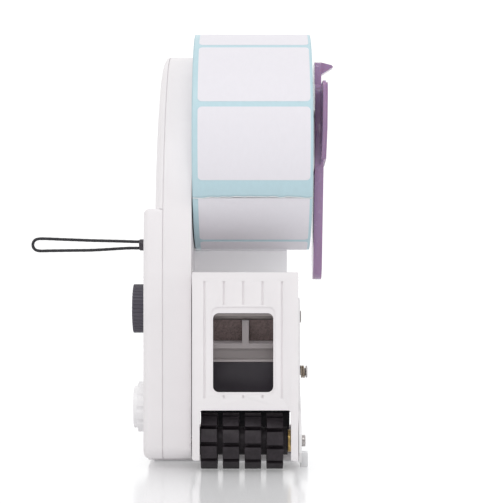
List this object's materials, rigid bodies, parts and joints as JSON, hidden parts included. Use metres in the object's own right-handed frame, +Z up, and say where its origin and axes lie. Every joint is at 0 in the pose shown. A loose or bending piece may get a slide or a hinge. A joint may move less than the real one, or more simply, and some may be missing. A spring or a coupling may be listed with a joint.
{
  "type": "label applicator",
  "caption": "Hand-held label applicator with a roll of labels on a cantilever spindle, a trigger-driven liner pull, a hinged head cover and rubber press wheels.",
  "frame": {"origin": "on the table, at the underside of the base pad, below the axis of the label roll", "axes": "+Z up; -Y out of the nose, where the press wheels are; +X out of the open side of the roll, along its axis"},
  "size_m": [0.1705, 0.241, 0.2423],
  "materials": {
    "shell": "fine satin moulded white plastic",
    "knob_white": "satin moulded plastic",
    "painted_plate": "satin white paint on steel",
    "guide": "satin moulded grey-white plastic",
    "felt": "dense brown-grey wool felt",
    "purple": "semi-gloss moulded purple plastic",
    "black_plastic": "fine-grained moulded plastic",
    "black_rubber": "soft moulded rubber",
    "roller_rubber": "ground rubber sleeve",
    "grey_rubber": "firm moulded rubber",
    "gear_plastic": "natural acetal",
    "steel": "bright turned and zinc-plated steel",
    "dark_steel": "oiled, darkened steel",
    "spring_bronze": "dull bronze-coloured spring wire",
    "brass": "turned brass",
    "liner": "pale blue-green glassine, slight sheen",
    "label": "smooth white thermal paper",
    "card": "wound brown cardboard",
    "cord": "braided waxed cord"
  },
  "bodies": {
    "frame": {"main_housing": "shell", "side_cover": "shell", "reel_shield": "shell", "side_plate": "painted_plate", "base_plate": "shell", "base_pad": "grey_rubber", "front_foot": "grey_rubber", "web_guide": "guide", "cross_frame": "guide", "guide_pads": "felt", "brake_block": "black_plastic", "peel_plate": "steel", "tie_rods": "steel", "tie_rod_screws": "steel", "cover_screws": "steel", "spindle": "shell", "spindle_screws": "steel", "hinge_pin": "dark_steel", "hinge_clip": "dark_steel", "friction_screw": "steel", "friction_spring": "spring_bronze", "press_axle": "steel", "press_axle_screw": "steel", "shaft_bushes": "brass", "anti_reverse_clutch": "steel", "idler_pin": "steel", "trigger_pin": "steel", "trigger_spring": "steel", "pinch_pin": "steel", "pinch_spring": "steel", "strap_cord": "cord", "strap_crimp": "black_plastic", "strap_eyelet": "steel"},
    "trigger": {"trigger_lever": "shell", "gear_sector": "steel"},
    "idler": {"idler_gear": "gear_plastic"},
    "drive_gear": {"drive_gear": "gear_plastic", "drive_clutch": "steel"},
    "drive_shaft": {"drive_shaft": "steel", "drive_roller": "roller_rubber", "feed_knob": "knob_white"},
    "pinch_arm": {"pinch_arm": "steel", "pinch_axle": "steel"},
    "pinch_roller": {"pinch_roller": "grey_rubber"},
    "press_roller": {"press_hub": "black_rubber", "press_wheel_1": "black_rubber", "press_wheel_2": "black_rubber", "press_wheel_3": "black_rubber", "press_wheel_4": "black_rubber", "press_bush": "brass"},
    "label_roll": {"roll_core": "card", "liner_roll": "liner", "roll_labels": "label"},
    "retainer": {"retainer_plate": "purple", "retainer_plug": "purple"},
    "head_cover": {"head_cover": "shell"},
    "length_knob": {"length_knob": "black_plastic", "length_cam": "gear_plastic"}
  },
  "joints": [
    {"name": "trigger_squeeze", "type": "hinge", "parent": "frame", "child": "trigger", "pos_m": [-0.044, 0.06602, 0.08271], "axis": [1, 0, 0], "range_deg": [0, 20], "stiffness_Nm_per_rad": 0.5, "springref_deg": -11.46},
    {"name": "idler_gear_spin", "type": "hinge", "parent": "frame", "child": "idler", "pos_m": [-0.05, 0.018, 0.058], "axis": [1, 0, 0], "range_deg": [-118, 2]},
    {"name": "drive_gear_spin", "type": "hinge", "parent": "frame", "child": "drive_gear", "pos_m": [-0.052, -0.00499, 0.02901], "axis": [1, 0, 0], "range_deg": [-4, 276]},
    {"name": "drive_shaft_spin", "type": "hinge", "parent": "frame", "child": "drive_shaft", "pos_m": [-0.02, -0.00499, 0.02901], "axis": [1, 0, 0], "continuous": true},
    {"name": "pinch_arm_swing", "type": "hinge", "parent": "frame", "child": "pinch_arm", "pos_m": [-0.003, 0.024, 0.042], "axis": [1, 0, 0], "range_deg": [0, 6], "stiffness_Nm_per_rad": 0.5, "springref_deg": -17.19},
    {"name": "pinch_roller_spin", "type": "hinge", "parent": "pinch_arm", "child": "pinch_roller", "pos_m": [-0.003, 0.01305, 0.02244], "axis": [1, 0, 0], "continuous": true},
    {"name": "press_roller_spin", "type": "hinge", "parent": "frame", "child": "press_roller", "pos_m": [-0.003, -0.048, 0.0154], "axis": [1, 0, 0], "continuous": true},
    {"name": "label_roll_spin", "type": "hinge", "parent": "frame", "child": "label_roll", "pos_m": [0.001, 0, 0.1803], "axis": [1, 0, 0], "continuous": true},
    {"name": "retainer_pull", "type": "slide", "parent": "frame", "child": "retainer", "axis": [1, 0, 0], "range_m": [0, 0.05]},
    {"name": "head_cover_open", "type": "hinge", "parent": "frame", "child": "head_cover", "pos_m": [-0.003, -0.03, 0.0817], "axis": [-1, 0, 0], "range_deg": [0, 45]},
    {"name": "length_knob_turn", "type": "hinge", "parent": "frame", "child": "length_knob", "pos_m": [-0.06, 0, 0.085], "axis": [1, 0, 0], "range_deg": [0, 180]}
  ],
  "couplings": [
    {"joint": "idler_gear_spin", "follows": "trigger_squeeze", "ratio": -5.75},
    {"joint": "drive_gear_spin", "follows": "trigger_squeeze", "ratio": 13.591},
    {"joint": "pinch_roller_spin", "follows": "drive_shaft_spin", "ratio": -2.1667}
  ]
}
